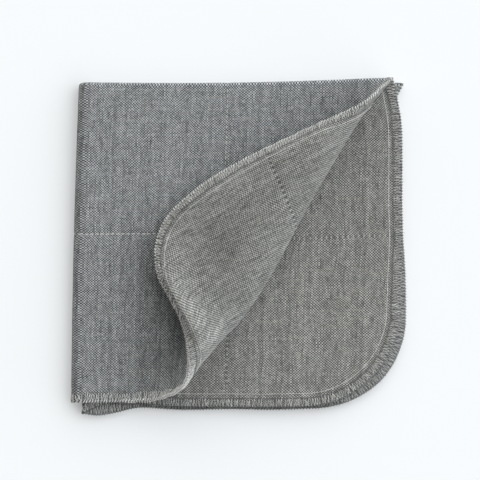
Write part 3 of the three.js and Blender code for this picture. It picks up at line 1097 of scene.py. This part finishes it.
# %% [markdown]
# Gauze sheds a few fibres between the stitches of its edge. Hair would draw them, but an
# exported model keeps only meshes, so they are one more row, with more chance in it.

# %% Loose fibres at the edge
FIBRE_COUNT = 500
fibre = [(0, 0.6, 0.3), (0.2, -0.1, 0.35), (0.5, -0.5, 0.1), (0.55, -0.9, 0.2)]
edge_fibres = sew(
    "edge_fibres", hem_seam, [fibre], FIBRE_COUNT,
    radius=0.045, turn=1.1, size_change=0.45, seed=11, thread=HEM_THREAD,
)

# %% [markdown]
# ## Lines that bind the plies
# Several thin plies make this cloth. A running stitch along two lines each way holds them
# together. On the face it shows as a row of pale dashes along the line. On the reverse it
# is a row of holes, darkened with painted shade in the gauze finish, with a short bar of
# thread between them, across the line.

# %% Binding stitches
BINDING_COUNT = 116
BINDING_REACH = (BINDING_COUNT - 1) * BINDING_PITCH / 2
bindings = []
for place_u, place_v in zip(BINDING_U, BINDING_V):
    bindings.append([(place_u, -BINDING_REACH), (place_u, BINDING_REACH)])
    bindings.append([(-BINDING_REACH, place_v), (BINDING_REACH, place_v)])
dash = [(-1.35, 0, 0.1), (-1.05, 0, 0.42), (-0.2, 0, 0.56), (0.55, 0, 0.42), (0.8, 0, 0.1)]
bar = [(0.95, -0.8, -0.3), (1.02, -0.5, -0.56), (1.12, 0.5, -0.56), (1.2, 0.8, -0.3)]
binding_rows = []
for number, line in enumerate(bindings):
    seam = flat_curve(f"binding_seam_{number}", [line])
    binding_rows.append(sew(
        f"binding_{number}", seam, [dash], BINDING_COUNT,
        radius=0.2, turn=0.06, size_change=0.12, seed=20 + number,
        thread=PALE_THREAD if number % 2 else BINDING_THREAD,
    ))
    binding_rows.append(sew(
        f"back_binding_{number}", seam, [bar], BINDING_COUNT,
        radius=0.18, turn=0.1, size_change=0.12, seed=24 + number, thread=BINDING_THREAD,
    ))

# %% [markdown]
# ## The set
# The towel lies on a plain pale surface. Most of the light is soft and comes in low from
# the upper right, and little comes from straight above, so each hollow is dark and every
# raised edge is pale. Its colour is a little cooler on that side. Area lights could do it,
# but one light by direction needs no placing and gives no spots.

# %% Floor
FLOOR_HALF = 1.5
around = ((-1, -1), (1, -1), (1, 1), (-1, 1))
floor_corners = [(x * FLOOR_HALF, y * FLOOR_HALF, 0) for x, y in around]
floor_mesh = bpy.data.meshes.new("floor")
floor_mesh.from_pydata(floor_corners, [], [(0, 1, 2, 3)])
floor = bpy.data.objects.new("floor", floor_mesh)
bpy.context.scene.collection.objects.link(floor)
floor_paint, _, floor_shader = new_finish("pale_floor")
floor_shader.inputs["Base Color"].default_value = (0.60, 0.61, 0.62, 1)
floor_shader.inputs["Roughness"].default_value = 0.9
floor_shader.inputs["Emission Color"].default_value = (0.97, 0.985, 1.0, 1)
floor_shader.inputs["Emission Strength"].default_value = 0.28
floor_mesh.materials.append(floor_paint)
print("floor in metres:", 2 * FLOOR_HALF)

# %% Light
LIGHT_RIGHT, LIGHT_FAR, LIGHT_STEEP, LIGHT_EVEN = 1.62, 1.42, 1.8, 1.8
STEEPNESS = 3.0
COOL_RIGHT, COOL_FAR, COOL_EVEN = 0.40, 0.17, 0.5
WARM_LIGHT = (1.02, 0.99, 0.87, 1)
COOL_LIGHT = (0.95, 0.99, 1.05, 1)


def surroundings():
    """Light by its direction: x and y point to its side, z is how high it stands."""
    world = bpy.data.worlds.new("surroundings")
    world.use_nodes = True
    board = Board(world.node_tree)
    way = board.add("ShaderNodeSeparateXYZ", inputs={0: board.add("ShaderNodeTexCoord")})
    x, y, z = (way.other(axis) for axis in "XYZ")
    steep = z.math("MAXIMUM", 0.0) ** STEEPNESS
    bright = x * LIGHT_RIGHT + y * LIGHT_FAR - steep * LIGHT_STEEP + LIGHT_EVEN
    cool = (x * COOL_RIGHT + y * COOL_FAR + COOL_EVEN).clamped()
    sky = world.node_tree.nodes["Background"]
    board.feed(sky.inputs["Color"], mixed(board, WARM_LIGHT, COOL_LIGHT, cool))
    board.feed(sky.inputs["Strength"], bright.math("MAXIMUM", 0.0))
    return world


bpy.context.scene.world = surroundings()
bpy.context.scene.view_settings.view_transform = "Standard"
print("light of", len(bpy.context.scene.world.node_tree.nodes), "nodes")

# %% [markdown]
# ## Attaching the towel
# The cloth and its stitches ride on the one body and stand for its solid, which is hidden.
# The guides that the rows were sewn from are taken away first.

# %% Frame calls
for item in [item for item in bpy.data.objects if item.type == "CURVE"]:
    bpy.data.objects.remove(item)
sewn_on = [overlock, *rim_loops, needle_line, chain_line, edge_fibres, *binding_rows]
for piece in [towel, *sewn_on]:
    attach(piece, "root")
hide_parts("towel")
